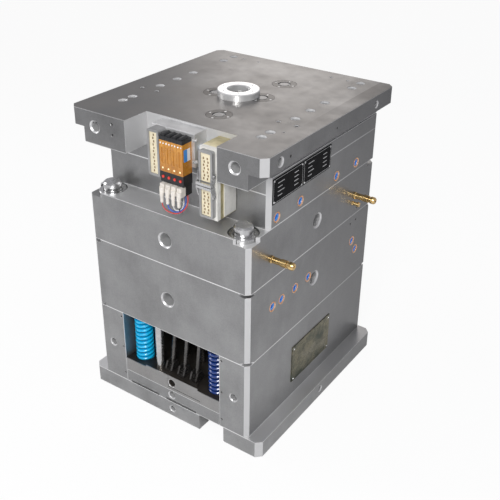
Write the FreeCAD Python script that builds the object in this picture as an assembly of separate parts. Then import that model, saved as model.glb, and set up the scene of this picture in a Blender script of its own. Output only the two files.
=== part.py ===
# Hot-runner injection mould base: moving half below, fixed half above, closed and standing on its base.
# Millimetres. Origin: centre of the moving clamp plate's underside. +Z towards the machine nozzle,
# +X towards the water side, -Y towards the side with the electrical boxes.
import FreeCAD
import Part
import math
import os

os.makedirs("parts", exist_ok=True)
vec = FreeCAD.Vector

# plate stack
body_width = 500.0
body_length = 620.0
clamp_width = 580.0
step_width = 490.0
bottom_thickness = 50.0
spacer_height = 230.0
core_thickness = 208.0
cavity_thickness = 140.0
lower_hot_thickness = 90.0
upper_hot_thickness = 42.0
step_thickness = 40.0
flange_thickness = 45.0
ledge_depth = 80.0
corner_cut = 10.0
clamp_corner_cut = 15.0
spacer_width = 88.0
pry_leg = 44.0
pry_depth = 13.0
small_pry_leg = 26.0
small_pry_depth = 8.0

# clearances
running = 0.05
gap = 0.3
side_gap = 2.0

# notches in the two clamp plates
top_notch_left = -110.0
top_notch_right = 161.0
bottom_notch_left = 94.0
bottom_notch_right = 174.0
bottom_notch_depth = 51.0
base_screw_y = (-230.0, 0.0, 230.0)
base_screw_radius = 8.0
base_screw_head_radius = 12.0
base_screw_head_height = 16.0
base_screw_sink = 4.0
base_screw_grip = 25.0
base_screw_play = 0.5
edge_hole_radius = 8.0
edge_hole_depth = 40.0
spacer_pin_radius = 2.6
spacer_pin_inset = 7.0
spacer_pin_rise = (25.0, 115.0, 215.0)

# guiding
pin_edge_x = 45.0
pin_edge_y = 42.0
leader_pin_radius = 24.0
leader_pin_rise = 20.0
pin_nose = 4.0
pin_relief = 3.0
bushing_wall = 6.0
bushing_rim = 6.0
bushing_flange_height = 10.0
bushing_sink = 3.0
bushing_recess_play = 2.0

# ejection
ejector_base_thickness = 39.7
retainer_thickness = 46.0
foot_height = 6.0
ejector_slots = ((-147.0, -47.0), (-20.0, 83.0))
return_edge = 35.0
return_pin_radius = 12.5
return_head_rim = 4.5
return_head_height = 8.0
spring_wire = 12.0
spring_play = 1.0
spring_seat_depth = 15.0
spring_scoop_radius = 56.0
spring_scoop_depth = 6.0
ejector_rod_radius = 30.0
guide_pin_radius = 11.0
guide_pin_x = 54.0
guide_pin_edge = 22.0
guide_pin_grip = 30.0
pillar_radius = 25.0
pillar_x = 95.0
pillar_y = 110.0
pillar_play = 2.0
button_radius = 15.0
button_y = (-240.0, -50.0, 50.0, 240.0)
ejector_pin_radius = 7.0
ejector_pin_x = 28.0
ejector_pin_edge = 14.0
lifter_angle = 8.0
lifter_bar_radius = 6.0
lifter_edge = 38.0
lifter_x = (-24.0, 18.0, 60.0)
lifter_foot_play = 0.5
lifter_foot_length = 18.0
lifter_foot_height = 11.0
lifter_cheek = 5.0
lifter_base = 3.0
lifter_unit_length = 38.0
lifter_unit_height = 24.0
lifter_slope = 10.0
retainer_patch = (-12.0, 98.0)
retainer_patch_rise = 8.0
retainer_patch_depth = 1.0
knock_bore = 12.0
plate_hole_depth = 30.0
lifter_overrun = 60.0

# moulding inserts: a shallow tray
insert_width = 340.0
insert_length = 380.0
core_insert_depth = 50.0
tray_width = 250.0
tray_length = 310.0
tray_height = 40.0
tray_wall = 3.0
tray_draft = 6.0
tray_rib = 8.0
tray_rib_height = 12.0
tray_pocket_radius = 22.0
tray_pocket_depth = 8.0
tray_pocket_x = 70.0
tray_pocket_y = 90.0

# hot runner
drop_places = ((46.0, -146.0), (-60.0, -17.0), (60.0, 17.0), (48.0, 143.0))
nozzle_radius = 15.0
nozzle_tip_radius = 5.0
nozzle_play = 3.0
nozzle_cone = 8.0
nozzle_land = 3.0
nozzle_pocket = 12.0
nozzle_neck = 8.0
nozzle_shoulder = 8.0
gate_radius = 1.5
manifold_height = 46.0
manifold_bar = 54.0
manifold_play = 8.0
manifold_floor = 18.0
sprue_radius = 24.0
sprue_play = 1.0
sprue_channel = 4.0
sprue_rise = 10.0
sprue_seat_radius = 22.0
sprue_seat_height = 12.0

# top plate furniture
ring_radius = 55.0
ring_bore_radius = 29.0
ring_height = 17.0
ring_chamfer = 2.0
ring_screw_count = 6
ring_screw_turn = 4.0
ring_screw_radius = 4.0
ring_screw_height = 6.0
ring_screw_sink = 1.0
top_bore_play = 3.0
cover_radius = 33.0
cover_thickness = 8.0
cover_play = 0.6
cover_groove = (13.0, 17.0)
cover_groove_depth = 2.0
cover_centre_sink = 0.5
cover_ledge = 9.0
cover_well = 60.0
cover_screw_count = 4
cover_screw_edge = 6.5
cover_screw_radius = 3.4
cover_screw_height = 4.4
cover_screw_sink = 0.6
screw_play = 0.2
bolt_edge = 36.0
bolt_front = (104.0, 140.0)
bolt_middle = (-62.0, 8.0, 78.0)
bolt_rear = (89.0, 40.0)
bolt_radius = 8.5
bolt_depth = 30.0
bolt_chamfer = 4.0
dowel_x = (120.0, 171.0)
dowel_edge = 41.0
dowel_radius = 3.5
link_edge = 33.0
link_y = -102.0
link_pitch = 50.0
link_width = 17.0
link_depth = 6.0
link_play = 0.4
link_screw_radius = 4.0
flange_holes = ((-251.0, 10.0), (208.0, 8.0), (-209.0, 3.5), (0.0, 2.5))
flange_hole_depth = 24.0

# lifting and service holes
lift_radius = 18.0
lift_chamfer = 3.5
small_lift_radius = 10.0
small_lift_chamfer = 2.5
lift_depth = 60.0
small_lift_depth = 45.0
flange_lift_growth = 3.0
port_radius = 13.0
port_chamfer = 1.5
port_depth = 18.0
plug_flange = 12.0
plug_radius = 10.5
plug_sink = 2.5
plug_socket = 5.0
plug_socket_depth = 8.0
pin_hole_radius = 3.0
pin_hole_depth = 12.0
nipple_thread_radius = 6.5
nipple_thread_length = 14.0
nipple_length = 64.0
nipple_bore = 2.6
nipple_stem = 4.8
nipple_collar = 7.2
side_plate_half = 100.0
side_plate_rise = 47.0
side_plate_height = 116.0
side_plate_thickness = 2.0
data_plate_length = 133.0
data_plate_height = 64.0
data_plate_thickness = 1.5
data_plate_drop = 70.0
data_plate_y = (-219.0, -84.0)

# electrical and pneumatic boxes on the ledge
box_width = 48.0
box_notch_play = 5.0
box_setback = 8.0
box_cover = 12.0
box_seam = 12.0
box_rise = 27.0
box_margin = 7.0
box_head = 4.0
box_panel = 2.0
gland_radius = 13.0
gland_bore = 4.0
gland_y = 36.0
housing_width = 38.0
housing_height = 80.0
housing_depth = 12.0
housing_wall = 5.5
housing_gap = 6.0
insert_sink = 2.0
insert_play = 0.2
insert_depth = 16.0
lever_reach = 18.0
lever_drop = 14.0
lever_hub = 5.0
lever_thickness = 2.2
lever_bar = 6.0
lever_play = 0.4
peg_radius = 3.0
peg_end = 1.5
peg_setback = 22.0
peg_rise = 5.0
side_housing_height = 117.0
side_housing_wall = 6.0
side_housing_depth = 30.0
side_housing_back = 12.0
side_housing_edge = 10.0
side_housing_width = 35.0
manifold_block_edge = 54.0
manifold_block_width = 128.0
manifold_block_depth = 44.0
manifold_block_height = 84.0
manifold_block_sink = 5.0
manifold_block_chamfer = 2.0
fitting_radius = 9.5
fitting_neck = 2.0
fitting_length = 9.0
fitting_bore = 3.0
fitting_inset = 16.0
port_slot_radius = 4.5
port_slot_spread = 27.0
port_slot_depth = 8.0
valve_edge = 50.0
valve_pitch = 17.2
valve_count = 4
valve_gap = 0.6
valve_depth = 34.0
valve_overhang = 12.0
valve_height = 78.0
valve_frame = 6.0
valve_window_depth = 1.2
cap_height = 10.0
cap_lump = 6.0
band_height = 27.0
band_sink = 1.0
rail_height = 27.0
rail_sink = 10.0
rail_end = 2.0
override_radius = 3.4
override_play = 0.1
override_out = 2.0
override_depth = 5.0
plug_half = 6.5
plug_reach = 16.0
plug_lift = 2.0
plug_rise = 14.0
ferrule_length = 26.0
ferrule_radius = 5.2
wire_radius = 1.2

# heights of the seams
spacer_z = bottom_thickness
core_z = spacer_z + spacer_height
cavity_z = core_z + core_thickness
lower_hot_z = cavity_z + cavity_thickness
upper_hot_z = lower_hot_z + lower_hot_thickness
step_z = upper_hot_z + upper_hot_thickness
flange_z = step_z + step_thickness
top_z = flange_z + flange_thickness
nozzle_tip_height = tray_height + tray_wall + nozzle_land
half_body = body_width / 2
half_length = body_length / 2
half_clamp = clamp_width / 2
ledge_y = ledge_depth - half_length
window = half_body - spacer_width
pin_x = half_body - pin_edge_x
pin_y = half_length - pin_edge_y
bushing_radius = leader_pin_radius + bushing_wall
bushing_flange_radius = bushing_radius + bushing_rim
bushing_recess_radius = bushing_flange_radius + bushing_recess_play
bushing_recess_depth = bushing_flange_height + bushing_sink
return_x = window - return_edge
return_y = pin_y
return_head_radius = return_pin_radius + return_head_rim
spring_bore = return_pin_radius + spring_play
spring_radius = spring_bore + spring_wire
ejector_pin_y = insert_length / 2 + ejector_pin_edge
guide_pin_places = ((-guide_pin_x, guide_pin_edge - half_length), (guide_pin_x, half_length - guide_pin_edge))
lifter_y = lifter_edge - half_length
lifter_foot_width = 2 * (lifter_bar_radius + lifter_foot_play)
cavity_insert_depth = nozzle_tip_height + nozzle_cone + nozzle_pocket
top_bore_radius = sprue_radius + top_bore_play
bolt_x = step_width / 2 - bolt_edge
bolt_y = [y - half_length for y in bolt_front] + list(bolt_middle) + [half_length - y for y in bolt_rear]
link_x = step_width / 2 - link_edge
cover_screw_circle = cover_radius - cover_screw_edge
ejector_z = spacer_z + gap
retainer_z = ejector_z + ejector_base_thickness
retainer_top = retainer_z + retainer_thickness
manifold_z = lower_hot_z + manifold_floor + manifold_play
box_right = top_notch_right - box_notch_play
box_left = box_right - box_width
box_front = box_setback - half_length
box_bottom = lower_hot_z + box_rise
box_top = box_bottom + box_margin + 2 * housing_height + housing_gap + box_head
manifold_block_left = top_notch_left + manifold_block_edge
manifold_block_right = manifold_block_left + manifold_block_width
manifold_block_top = top_z - manifold_block_sink
manifold_block_bottom = manifold_block_top - manifold_block_height
manifold_block_front = ledge_y - manifold_block_depth
manifold_block_middle = (manifold_block_bottom + manifold_block_top) / 2
side_housing_left = manifold_block_left + side_housing_edge
side_housing_top = manifold_block_top - 1
side_housing_bottom = side_housing_top - side_housing_height
valve_left = manifold_block_left + valve_edge
valve_bottom = manifold_block_bottom - valve_overhang
valve_top = valve_bottom + valve_height
band_bottom = valve_bottom - band_height
rail_bottom = band_bottom - rail_height
front = vec(0, 1, 0)
leftward = vec(-1, 0, 0)
up = vec(0, 0, 1)
down = vec(0, 0, -1)


def block(x0, x1, y0, y1, z0, z1):
    return Part.makeBox(x1 - x0, y1 - y0, z1 - z0, vec(x0, y0, z0))


def rod(radius, start, direction, length):
    return Part.makeCylinder(radius, length, start, direction)


def prism(points, height):
    wire = Part.makePolygon(points + [points[0]])
    return Part.Face(wire).extrude(height)


def plate(width, y0, y1, z0, z1, cut):
    """Plate with its four upright corners cut at 45 degrees."""
    half = width / 2
    outline = [vec(-half + cut, y0, z0), vec(half - cut, y0, z0), vec(half, y0 + cut, z0), vec(half, y1 - cut, z0),
               vec(half - cut, y1, z0), vec(-half + cut, y1, z0), vec(-half, y1 - cut, z0), vec(-half, y0 + cut, z0)]
    return prism(outline, vec(0, 0, z1 - z0))


def hole(point, direction, radius, depth, chamfer=0.0):
    """Cutter for a drilled hole that starts at a face and goes along direction."""
    tool = rod(radius, point, direction, depth)
    if chamfer:
        tool = tool.fuse(Part.makeCone(radius + chamfer, radius, chamfer, point, direction))
    return tool


def cut_all(shape, tools):
    return shape.cut(Part.makeCompound(tools)) if tools else shape


def turned(profile, place=vec(0, 0, 0), axis=up):
    """Solid of revolution: profile is a list of (radius, height) pairs, then it is moved to its place."""
    points = [vec(r, 0, h) for r, h in profile]
    solid = Part.Face(Part.makePolygon(points + [points[0]])).revolve(vec(0, 0, 0), up, 360)
    solid.Placement = FreeCAD.Placement(place, FreeCAD.Rotation(up, axis))
    return solid


def corners(x, y):
    return [(-x, -y), (x, -y), (-x, y), (x, y)]


def corner_wedges(leg, z, depth):
    """Four triangular cutters at the body's corners, for the pry slots."""
    wedges = []
    for sx, sy in corners(1, 1):
        tip = vec(sx * (half_body + 1), sy * (half_length + 1), z)
        along = vec(-sx * (leg + 2), 0, 0)
        across = vec(0, -sy * (leg + 2), 0)
        wedges.append(prism([tip, tip + along, tip + across], vec(0, 0, depth)))
    return wedges


def hexagon(x, y, z, radius):
    return [vec(x + radius * math.cos(math.radians(60 * i)), y + radius * math.sin(math.radians(60 * i)), z)
            for i in range(6)]


def save(name, *solids):
    flat = []
    for shape in solids:
        flat.extend(shape.Solids)
    body = flat[0] if len(flat) == 1 else Part.makeCompound(flat)
    if not body.isValid():
        raise ValueError(name + " is not valid")
    body.exportStep("parts/" + name + ".step")
    print(name, len(flat), round(body.Volume / 1000, 1))


# ---------------------------------------------------------------- moving half
def bottom_clamp_plate():
    shape = plate(clamp_width, -half_length, half_length, 0, bottom_thickness, clamp_corner_cut)
    middle = bottom_thickness / 2
    tools = [block(bottom_notch_left, bottom_notch_right, -half_length - 1, -half_length + bottom_notch_depth,
                   -1, bottom_thickness + 1),
             hole(vec(0, 0, -1), up, ejector_rod_radius, bottom_thickness + 2),
             hole(vec(0, -half_length, middle), front, edge_hole_radius, edge_hole_depth, small_lift_chamfer),
             hole(vec(half_clamp, 0, middle), leftward, edge_hole_radius, edge_hole_depth, small_lift_chamfer)]
    head = base_screw_head_height + base_screw_sink
    for x, y in base_screw_places():
        tools.append(rod(base_screw_head_radius + 1, vec(x, y, 0), up, head))
        tools.append(rod(base_screw_radius + base_screw_play, vec(x, y, head - 1), up, bottom_thickness))
    return cut_all(shape, tools)


def base_screw_places():
    x = half_body - spacer_width / 2
    return [(side * x, y) for side in (-1, 1) for y in base_screw_y]


def base_screws():
    """Socket-head screws that hold the moving clamp plate to the spacers."""
    solids = []
    length = bottom_thickness - base_screw_sink + base_screw_grip
    socket = base_screw_radius * 0.8
    profile = [(0, 0), (base_screw_head_radius, 0), (base_screw_head_radius, base_screw_head_height),
               (base_screw_radius, base_screw_head_height), (base_screw_radius, length), (0, length)]
    for x, y in base_screw_places():
        points = hexagon(x, y, base_screw_sink, socket)
        key = prism(points, vec(0, 0, base_screw_radius))
        solids.append(turned(profile, vec(x, y, base_screw_sink)).cut(key))
    return solids


def spacer_block(side):
    inner = side * window
    outer = side * half_body
    cut = -side * corner_cut
    outline = [vec(inner, -half_length, spacer_z), vec(outer + cut, -half_length, spacer_z),
               vec(outer, -half_length + corner_cut, spacer_z), vec(outer, half_length - corner_cut, spacer_z),
               vec(outer + cut, half_length, spacer_z), vec(inner, half_length, spacer_z)]
    shape = prism(outline, vec(0, 0, spacer_height))
    middle = (inner + outer) / 2
    tools = [hole(vec(middle, -half_length, spacer_z + spacer_height / 2), front, small_lift_radius,
                  small_lift_depth, small_lift_chamfer)]
    for rise in spacer_pin_rise:
        tools.append(hole(vec(inner + side * spacer_pin_inset, -half_length, spacer_z + rise), front,
                          spacer_pin_radius, pin_hole_depth, 0.8))
    for x, y in base_screw_places():
        if x * side > 0:
            tools.append(rod(base_screw_radius, vec(x, y, spacer_z - 1), up, base_screw_grip + 1))
    return cut_all(shape, tools)


def core_plate():
    shape = plate(body_width, -half_length, half_length, core_z, cavity_z, corner_cut)
    middle = core_z + core_thickness / 2
    tools = [block(-insert_width / 2, insert_width / 2, -insert_length / 2, insert_length / 2,
                   cavity_z - core_insert_depth, cavity_z + 1),
             hole(vec(0, -half_length, middle), front, lift_radius, lift_depth, lift_chamfer),
             hole(vec(half_body, 0, middle), leftward, lift_radius, lift_depth, lift_chamfer)]
    tools += corner_wedges(small_pry_leg, cavity_z - small_pry_depth, small_pry_depth + 1)
    tools += corner_wedges(small_pry_leg, core_z - 1, small_pry_depth + 1)
    for x, y in corners(pin_x, pin_y):
        tools.append(hole(vec(x, y, core_z - 1), up, leader_pin_radius, core_thickness + 2))
    for x, y in corners(return_x, return_y):
        tools.append(hole(vec(x, y, core_z - 1), up, return_pin_radius + running, core_thickness + 2))
    for x, y in corners(ejector_pin_x, ejector_pin_y):
        tools.append(hole(vec(x, y, core_z - 1), up, ejector_pin_radius + running, core_thickness + 2))
    for x, y in guide_pin_places:
        tools.append(hole(vec(x, y, core_z), up, guide_pin_radius, guide_pin_grip))
    for x in lifter_x:
        tools.append(lifter_bar(x, lifter_bar_radius + running, lifter_overrun))
    for y, z in core_ports():
        tools.append(hole(vec(half_body, y, z), leftward, port_radius, port_depth, port_chamfer))
    for y, z in ((224, cavity_z - 22), (193, cavity_z - 24)):
        tools.append(hole(vec(half_body, y, z), leftward, pin_hole_radius, pin_hole_depth, 0.8))
    return cut_all(shape, tools)


def core_ports():
    row = cavity_z - 85
    return [(-204, row), (-162, row), (-98, row), (-32, row), (209, row), (233, row - 37)]


def hot_ports():
    row = lower_hot_z + 22
    return [(-196, row), (-90, row), (90, row), (198, row)]


def port_plugs(ports):
    """Hexagon-socket plugs that fill the water ports up to a slimmer head."""
    solids = []
    seat = half_body - port_depth
    for y, z in ports:
        body = rod(port_radius, vec(seat, y, z), vec(1, 0, 0), plug_flange)
        head = rod(plug_radius, vec(seat + plug_flange, y, z), vec(1, 0, 0), port_depth - plug_flange - plug_sink)
        points = [vec(half_body, y + p.x, z + p.y) for p in hexagon(0, 0, 0, plug_socket)]
        solids.append(body.fuse(head).cut(prism(points, vec(-plug_socket_depth, 0, 0))))
    return solids


def tray_block(growth, z0, height):
    """Tapered block: the tray's inside, or its outside when grown by the wall."""
    def outline(z, inset):
        half_x = tray_width / 2 + growth - inset
        half_y = tray_length / 2 + growth - inset
        points = [vec(-half_x, -half_y, z), vec(half_x, -half_y, z), vec(half_x, half_y, z), vec(-half_x, half_y, z)]
        return Part.makePolygon(points + [points[0]])
    return Part.makeLoft([outline(z0, 0), outline(z0 + height, tray_draft)], True, True)


def core_insert():
    base = block(-insert_width / 2, insert_width / 2, -insert_length / 2, insert_length / 2,
                 cavity_z - core_insert_depth, cavity_z)
    core = tray_block(0, cavity_z, tray_height)
    top = cavity_z + tray_height
    rib = block(-tray_rib / 2, tray_rib / 2, -tray_length / 2, tray_length / 2, top - tray_rib_height, top + 1)
    pockets = [rod(tray_pocket_radius, vec(x, y, top - tray_pocket_depth), up, tray_pocket_depth + 1)
               for x, y in corners(tray_pocket_x, tray_pocket_y)]
    return cut_all(base.fuse(core).removeSplitter(), [rib] + pockets)


def cavity_insert():
    base = block(-insert_width / 2, insert_width / 2, -insert_length / 2, insert_length / 2,
                 cavity_z, cavity_z + cavity_insert_depth)
    tools = [tray_block(tray_wall, cavity_z, tray_height + tray_wall)]
    for x, y in drop_places:
        tools.append(rod(gate_radius, vec(x, y, cavity_z), up, cavity_insert_depth + 1))
        tools.append(hole(vec(x, y, cavity_z + cavity_insert_depth), down, nozzle_radius + nozzle_play,
                          nozzle_pocket))
        tools.append(Part.makeCone(0, nozzle_tip_radius, nozzle_cone, vec(x, y, cavity_z + nozzle_tip_height)))
    return cut_all(base, tools)


def leader_pins():
    length = lower_hot_z + leader_pin_rise - core_z
    profile = [(0, 0), (leader_pin_radius, 0), (leader_pin_radius, core_thickness),
               (leader_pin_radius - running, core_thickness), (leader_pin_radius - running, length - pin_nose),
               (leader_pin_radius - pin_nose, length), (0, length)]
    return [turned(profile, vec(x, y, core_z)) for x, y in corners(pin_x, pin_y)]


def ejector_guide_pins():
    length = spacer_height + guide_pin_grip
    return [rod(guide_pin_radius, vec(x, y, spacer_z), up, length) for x, y in guide_pin_places]


def support_pillars():
    return [rod(pillar_radius, vec(x, y, spacer_z), up, spacer_height) for x, y in corners(pillar_x, pillar_y)]


def stop_buttons():
    solids = []
    for low, high in ejector_slots:
        for y in button_y:
            solids.append(rod(button_radius, vec((low + high) / 2, y, spacer_z), up, foot_height))
    return solids


def return_spring(x, y):
    bottom = retainer_top - spring_seat_depth + gap
    return rod(spring_radius, vec(x, y, bottom), up, core_z - bottom).cut(
        rod(spring_bore, vec(x, y, bottom), up, core_z - bottom))


def spacer_side_plate():
    z0 = spacer_z + side_plate_rise
    return block(half_body, half_body + side_plate_thickness, -side_plate_half, side_plate_half,
                 z0, z0 + side_plate_height)


# ---------------------------------------------------------------- ejection
def through_holes(z, height):
    """Clearance holes that both ejector plates share."""
    tools = []
    for x, y in guide_pin_places:
        tools.append(hole(vec(x, y, z - 1), up, guide_pin_radius + running, height + 2))
    for x, y in corners(pillar_x, pillar_y):
        tools.append(hole(vec(x, y, z - 1), up, pillar_radius + pillar_play, height + 2))
    return tools


def ejector_base_plate():
    half = window - side_gap
    shape = block(-half, half, -half_length, half_length, ejector_z, retainer_z)
    tools = through_holes(ejector_z, ejector_base_thickness)
    for low, high in ejector_slots:
        tools.append(block(low, high, -half_length - 1, half_length + 1, ejector_z - 1, ejector_z + foot_height))
    middle = ejector_z + foot_height + (ejector_base_thickness - foot_height) / 2
    tools.append(hole(vec(0, -half_length, middle), front, small_lift_radius, plate_hole_depth,
                      small_lift_chamfer))
    tools.append(hole(vec(0, 0, ejector_z - 1), up, knock_bore, plate_hole_depth))
    return cut_all(shape, tools)


def ejector_retainer_plate():
    half = window - side_gap
    shape = block(-half, half, -half_length, half_length, retainer_z, retainer_top)
    tools = through_holes(retainer_z, retainer_thickness)
    for x, y in corners(return_x, return_y):
        tools.append(rod(return_pin_radius, vec(x, y, retainer_z - 1), up, retainer_thickness + 2))
        tools.append(rod(return_head_radius, vec(x, y, retainer_z - 1), up, return_head_height + 1))
        tools.append(rod(spring_radius + 1, vec(x, y, retainer_top - spring_seat_depth), up, spring_seat_depth + 1))
        tools.append(rod(spring_scoop_radius, vec(x, y, retainer_top - spring_scoop_depth), up,
                         spring_scoop_depth + 1))
    for x, y in corners(ejector_pin_x, ejector_pin_y):
        tools.append(rod(ejector_pin_radius, vec(x, y, retainer_z - 1), up, retainer_thickness + 2))
    left, right = retainer_patch
    patch = retainer_patch_depth - half_length
    tools.append(block(left, right, -half_length - 1, patch, retainer_z + retainer_patch_rise, retainer_top + 1))
    tools.append(hole(vec(0, patch, retainer_z + retainer_thickness / 2), front, small_lift_radius, plate_hole_depth,
                      small_lift_chamfer))
    return cut_all(shape, tools)


def return_pins():
    length = cavity_z - retainer_z
    profile = [(0, 0), (return_head_radius, 0), (return_head_radius, return_head_height),
               (return_pin_radius, return_head_height), (return_pin_radius, length), (0, length)]
    return [turned(profile, vec(x, y, retainer_z)) for x, y in corners(return_x, return_y)]


def ejector_pins():
    return [rod(ejector_pin_radius, vec(x, y, retainer_z), up, cavity_z - retainer_z)
            for x, y in corners(ejector_pin_x, ejector_pin_y)]


def lifter_direction():
    tilt = math.radians(lifter_angle)
    return vec(0, math.sin(tilt), math.cos(tilt))


def lifter_bar(x, radius, overrun=0.0):
    """Slanted round bar from its foot to beyond the parting line."""
    start = vec(x, lifter_y, retainer_top + lifter_base + lifter_foot_height / 2)
    length = (cavity_z - start.z) / lifter_direction().z + overrun
    return rod(radius, start, lifter_direction(), length + 2)


def lifter_bars():
    solids = []
    trim = block(-half_body, half_body, -half_length, half_length, cavity_z, cavity_z + lifter_overrun)
    for x in lifter_x:
        foot = block(x - lifter_foot_width / 2, x + lifter_foot_width / 2,
                     lifter_y - lifter_foot_length / 2, lifter_y + lifter_foot_length / 2,
                     retainer_top + lifter_base + gap, retainer_top + lifter_base + lifter_foot_height)
        solids.append(lifter_bar(x, lifter_bar_radius - 0.5 * running).fuse(foot).cut(trim).removeSplitter())
    return solids


def lifter_base_units():
    """Open brackets on the retainer plate, whose sloped cheeks hold the lifter feet."""
    solids = []
    y0 = lifter_y - lifter_unit_length / 2 - 2
    y1 = y0 + lifter_unit_length
    inner = lifter_foot_width / 2 + gap
    for x in lifter_x:
        base = block(x - inner - lifter_cheek, x + inner + lifter_cheek, y0, y1, retainer_top,
                     retainer_top + lifter_base)
        unit = base
        for side in (-1, 1):
            start = x + side * inner
            outline = [vec(start, y0, retainer_top), vec(start, y1, retainer_top),
                       vec(start, y1 - lifter_slope, retainer_top + lifter_unit_height),
                       vec(start, y0 + lifter_slope, retainer_top + lifter_unit_height)]
            unit = unit.fuse(prism(outline, vec(side * lifter_cheek, 0, 0)))
        solids.append(unit.removeSplitter())
    return solids


# ---------------------------------------------------------------- fixed half
def cavity_plate():
    shape = plate(body_width, -half_length, half_length, cavity_z, lower_hot_z, corner_cut)
    middle = cavity_z + cavity_thickness / 2
    tools = [block(-insert_width / 2, insert_width / 2, -insert_length / 2, insert_length / 2,
                   cavity_z - 1, cavity_z + cavity_insert_depth),
             hole(vec(0, -half_length, middle), front, lift_radius, lift_depth, lift_chamfer),
             hole(vec(half_body, 0, middle), leftward, lift_radius, lift_depth, lift_chamfer),
             hole(vec(half_body, 224, cavity_z + 17), leftward, pin_hole_radius, pin_hole_depth, 0.8)]
    tools += corner_wedges(pry_leg, lower_hot_z - pry_depth, pry_depth + 1)
    for x, y in corners(pin_x, pin_y):
        tools.append(rod(bushing_radius, vec(x, y, cavity_z - 1), up, cavity_thickness + 2))
        tools.append(rod(bushing_recess_radius, vec(x, y, lower_hot_z - bushing_recess_depth), up,
                         bushing_recess_depth + 1))
    for x, y in drop_places:
        tools.append(rod(nozzle_radius + nozzle_play, vec(x, y, cavity_z + cavity_insert_depth - 1), up,
                         cavity_thickness))
    for y, z in nipple_places() + [short_fitting_place()]:
        tools.append(rod(nipple_thread_radius, vec(half_body - nipple_thread_length, y, z), vec(1, 0, 0),
                         nipple_thread_length + 1))
    return cut_all(shape, tools)


def nipple_places():
    row = cavity_z + 58
    return [(-216.0, row), (203.0, row + 4)]


def short_fitting_place():
    y, z = nipple_places()[1]
    return y - 6, z - 22


def water_nipples():
    """Quick-connect water nipples: thread, slim stem, collar, groove and tip, with a through bore."""
    thread = -nipple_thread_length
    collar = nipple_collar
    profile = [(nipple_bore, thread), (nipple_thread_radius, thread), (nipple_thread_radius, 0), (collar + 1, 0),
               (collar + 1, 3), (nipple_stem, 5), (nipple_stem, 30), (collar, 33), (collar, 46), (collar - 2, 47),
               (collar - 2, 51), (collar - 0.6, 52), (collar - 0.6, 60), (collar - 2.2, nipple_length),
               (nipple_bore, nipple_length)]
    solids = [turned(profile, vec(half_body, y, z), vec(1, 0, 0)) for y, z in nipple_places()]
    y, z = short_fitting_place()
    neck = nipple_thread_radius - 1.5
    short = [(0, thread), (nipple_thread_radius, thread), (nipple_thread_radius, 0), (neck, 2), (neck, 13),
             (nipple_thread_radius, 14), (nipple_thread_radius, 20), (0, 20)]
    solids.append(turned(short, vec(half_body, y, z), vec(1, 0, 0)))
    return solids


def leader_bushings():
    top = lower_hot_z - bushing_recess_depth + bushing_flange_height
    height = top - cavity_z
    profile = [(leader_pin_radius, 0), (bushing_radius, 0), (bushing_radius, height - bushing_flange_height),
               (bushing_flange_radius, height - bushing_flange_height), (bushing_flange_radius, height - 1.5),
               (bushing_flange_radius - 1.5, height), (leader_pin_radius + 2, height), (leader_pin_radius, height - 2)]
    return [turned(profile, vec(x, y, cavity_z)) for x, y in corners(pin_x, pin_y)]


def hot_runner_plate_lower():
    shape = plate(body_width, ledge_y, half_length, lower_hot_z, upper_hot_z, corner_cut)
    tools = manifold_shape(manifold_play, lower_hot_z + manifold_floor, lower_hot_thickness)
    tools += [rod(nozzle_radius + nozzle_play, vec(x, y, lower_hot_z - 1), up, lower_hot_thickness)
              for x, y in drop_places]
    for x in (-pin_x, pin_x):
        tools.append(rod(leader_pin_radius + pin_relief, vec(x, pin_y, lower_hot_z - 1), up,
                         leader_pin_rise + pin_relief + 1))
    for y, z in hot_ports():
        tools.append(hole(vec(half_body, y, z), leftward, port_radius, port_depth, port_chamfer))
    return cut_all(shape, tools)


def manifold_shape(play, z0, height):
    """The heated block's branches: a spine over the outer drops and an arm over the side drops."""
    half = manifold_bar / 2 + play
    first, left, right, last = drop_places
    middle = (first[0] + last[0]) / 2
    arm_half = right[1] + manifold_bar / 4 + play
    spine = block(middle - half, middle + half, first[1] - half, last[1] + half, z0, z0 + height)
    arm = block(left[0] - half, right[0] + half, -arm_half, arm_half, z0, z0 + height)
    return [spine, arm]


def hot_runner_manifold():
    spine, arm = manifold_shape(0, manifold_z, manifold_height)
    return spine.fuse(arm).removeSplitter()


def hot_runner_nozzles():
    tip = cavity_z + nozzle_tip_height
    length = manifold_z - tip
    neck = nozzle_cone + nozzle_neck
    profile = [(0, 0), (nozzle_tip_radius, nozzle_cone), (nozzle_tip_radius, neck),
               (nozzle_radius, neck + nozzle_shoulder), (nozzle_radius, length), (0, length)]
    return [turned(profile, vec(x, y, tip)) for x, y in drop_places]


def hot_runner_plate_upper():
    shape = plate(body_width, ledge_y, half_length, upper_hot_z, step_z, corner_cut)
    return shape.cut(rod(sprue_radius + sprue_play, vec(0, 0, upper_hot_z - 1), up, upper_hot_thickness + 2))


def sprue_bushing():
    """Inlet of the hot runner, from the manifold to the locating ring, with a spherical nozzle seat."""
    bottom = manifold_z + manifold_height
    height = flange_z + sprue_rise - bottom
    body = rod(sprue_radius, vec(0, 0, bottom), up, height)
    seat = Part.makeSphere(sprue_seat_radius, vec(0, 0, bottom + height + sprue_seat_height))
    return cut_all(body, [seat, rod(sprue_channel, vec(0, 0, bottom - 1), up, height + 2)])


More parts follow.
